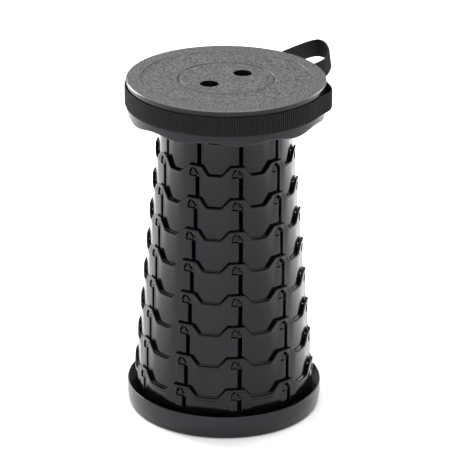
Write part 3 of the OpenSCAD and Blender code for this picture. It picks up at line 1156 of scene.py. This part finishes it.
# %% [markdown]
# ## Webbing
#
# The strap is 25 mm polypropylene webbing: flat, stiff on edge, with a rib across it every three
# millimetres and rounded selvedges. It is too thin for a cloth simulation to help, so it is swept
# along its route, with its ribs as real relief and the finer weave in the material.

# %% Webbing finish and sweep
RIB = 3.0
RIB_H = 0.4
STRAP_T = 1.9
WARP, WEFT = 0.0016, 0.0015
WEAVE_DEPTH = 0.0004


def webbing_finish():
    finish = Finish("webbing_black")
    run = finish.node("UVMap", {"uv_map": "weave"})
    along = finish.node("SeparateXYZ", None, {"Vector": run}, out="X")
    across = finish.node("SeparateXYZ", None, {"Vector": run}, out="Y")
    turn = 2 * math.pi
    warp = (across * (turn / WARP)).sine().size()
    ribs = (along * (turn / (RIB * MM))).sine() * 0.5 + 0.5
    weave = (along * (turn / WEFT)).sine() * (across * (turn / WARP)).sine()
    check = weave * 0.5 + 0.5
    fuzz = finish.noise(1800.0, detail=4.0)
    relief = check * 0.55 + warp * 0.3 + fuzz * 0.35
    # Painted shade and light: the colour darkens and lightens in bands at the rib spacing and
    # across the weave; the fuzz adds random tone.
    wear_and_rib_shade = (relief * 0.3 + ribs * 0.7 - 0.1).clamped()
    colour = finish.mix(wear_and_rib_shade, shade(0.001, NEUTRAL), shade(0.026, NEUTRAL))
    return finish.surface(
        Base_Color=colour,
        Roughness=0.62 + fuzz * 0.2,
        Normal=finish.bump(relief, WEAVE_DEPTH),
        Specular_IOR_Level=0.15,
    )


WEBBING_FINISH = webbing_finish()


def resampled(points, step):
    """A polyline with even spacing."""
    points = np.asarray(points, float)
    length = np.r_[0, np.cumsum(np.linalg.norm(np.diff(points, axis=0), axis=1))]
    count = max(int(round(length[-1] / step)), 2)
    at = np.linspace(0, length[-1], count + 1)
    return np.c_[tuple(np.interp(at, length, points[:, i]) for i in range(points.shape[1]))], at


SPLINE_STEPS = 12


def spline(points):
    """A smooth curve through every point."""
    p = np.asarray(points, float)
    out = []
    for i in range(len(p) - 1):
        a, b, c, d = p[max(i - 1, 0)], p[i], p[i + 1], p[min(i + 2, len(p) - 1)]
        square, cube = 2 * a - 5 * b + 4 * c - d, 3 * b - a - 3 * c + d
        for t in np.linspace(0, 1, SPLINE_STEPS, endpoint=False):
            out.append(0.5 * (2 * b + (c - a) * t + square * t**2 + cube * t**3))
    return np.array(out + [p[-1]])


def webbing(name, route, lean, body, node):
    """Webbing on edge along a plan route.

    lean gives, from 0 to 1 along the route, how far its lower edge stands out past its upper one.
    """
    line, run = resampled(route, RIB / 6)
    ahead = np.gradient(line, axis=0)
    ahead /= np.linalg.norm(ahead, axis=1)[:, None]
    out = np.c_[-ahead[:, 1], ahead[:, 0]]
    width = STRAP_TOP - STRAP_LOW
    rows = []
    half = STRAP_T / 2
    across = np.linspace(0, 1, 15)
    for side in (1, -1):
        for t in across if side == 1 else across[::-1]:
            rows.append((side, t))
    verts, weave = [], []
    for i, (point, normal, s) in enumerate(zip(line, out, run)):
        rib = RIB_H * (0.5 - 0.5 * math.cos(2 * math.pi * s / RIB))
        for side, t in rows:
            edge = min(t, 1 - t) * width
            thick = half * math.sqrt(max(1 - (max(1.0 - edge, 0)) ** 2, 0.02))
            depth = max(thick - (RIB_H - rib) * eased(edge, 0.6, 1.6), 0.1)
            sway = lean(i / (len(line) - 1)) * (0.5 - t)
            xy = point + normal * (side * depth + sway)
            verts.append((xy[0], xy[1], STRAP_LOW + t * width))
            weave.append((s * MM, t * width * MM))
    n = len(rows)
    faces = []
    for i in range(len(line) - 1):
        for j in range(n):
            a, b = i * n + j, i * n + (j + 1) % n
            faces.append((a, b, b + n, a + n))
    faces.append(tuple(range(n))[::-1])
    faces.append(tuple(range((len(line) - 1) * n, len(line) * n)))
    mesh = bpy.data.meshes.new(name)
    mesh.from_pydata((np.array(verts) * MM).tolist(), [], faces)
    bm = bmesh.new()
    bm.from_mesh(mesh)
    bmesh.ops.recalc_face_normals(bm, faces=bm.faces)
    bm.to_mesh(mesh)
    bm.free()
    layer = mesh.uv_layers.new(name="weave")
    corners = np.zeros(len(mesh.loops), int)
    mesh.loops.foreach_get("vertex_index", corners)
    layer.data.foreach_set("uv", np.array(weave)[corners].ravel())
    mesh.polygons.foreach_set("use_smooth", [True] * len(mesh.polygons))
    mesh.set_sharp_from_angle(angle=math.radians(50))
    mesh.materials.append(WEBBING_FINISH)
    piece = bpy.data.objects.new(name, mesh)
    bpy.context.scene.collection.objects.link(piece)
    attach(piece, body)
    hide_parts(node)
    print(f"{name}: {run[-1]:.0f} mm of webbing")


# %% Strap round the seat
STRAP_STAND = 0.7
STRAP_R = SKIRT_R + STRAP_STAND + STRAP_T / 2
SLACK_AT, SLACK_HALF, SLACK = 81.0, 15.0, 6.6
TAIL_R = SKIRT_R - SKIRT_WALL - 0.6
TAIL_TURN = 2.2
LOOP_LEAN = 4.0


def plan(r, degrees):
    return (r * math.sin(math.radians(degrees)), -r * math.cos(math.radians(degrees)))


def wrap_route():
    points = [plan(TAIL_R, WRAP_FROM + TAIL_TURN)]
    for a in np.arange(WRAP_FROM, WRAP_TO, -1.0):
        off = abs(a - SLACK_AT)
        swell = math.cos(math.radians(off * 90 / SLACK_HALF)) if off < SLACK_HALF else 0.0
        points.append(plan(STRAP_R + SLACK * swell**2, a))
    points += [plan(STRAP_R, WRAP_TO), plan(TAIL_R, WRAP_TO - TAIL_TURN)]
    return points


def upright(t):
    return 0.0


def leaning(t):
    return LOOP_LEAN * math.sin(math.pi * t) ** 2


webbing("wrap_strap_webbing", wrap_route(), upright, "seat", "wrap_strap")
webbing("carry_loop_webbing", spline(LOOP_ROUTE), leaning, "seat", "carry_loop")

# %% [markdown]
# ## Pieces kept from the CAD model
#
# The collar, the deck and the screws sit out of sight under the seat. Their CAD shapes are right,
# so they keep them and only get a small bevel and a finish of their own.


# %% Collar, deck and screws
def dress(node, finish, bevel_mm):
    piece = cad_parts[node]
    piece.data.materials.clear()
    piece.data.materials.append(finish)
    soften = piece.modifiers.new("soft_edges", "BEVEL")
    soften.width = bevel_mm * MM
    soften.segments = 2
    soften.limit_method = "ANGLE"
    soften.angle_limit = math.radians(40)
    print(f"{node}: kept, edges softened by {bevel_mm} mm")


dress("seat_collar", COLLAR_FINISH, 0.25)
dress("seat_deck", COLLAR_FINISH, 0.3)
dress("seat_screws", SCREW_FINISH, 0.3)
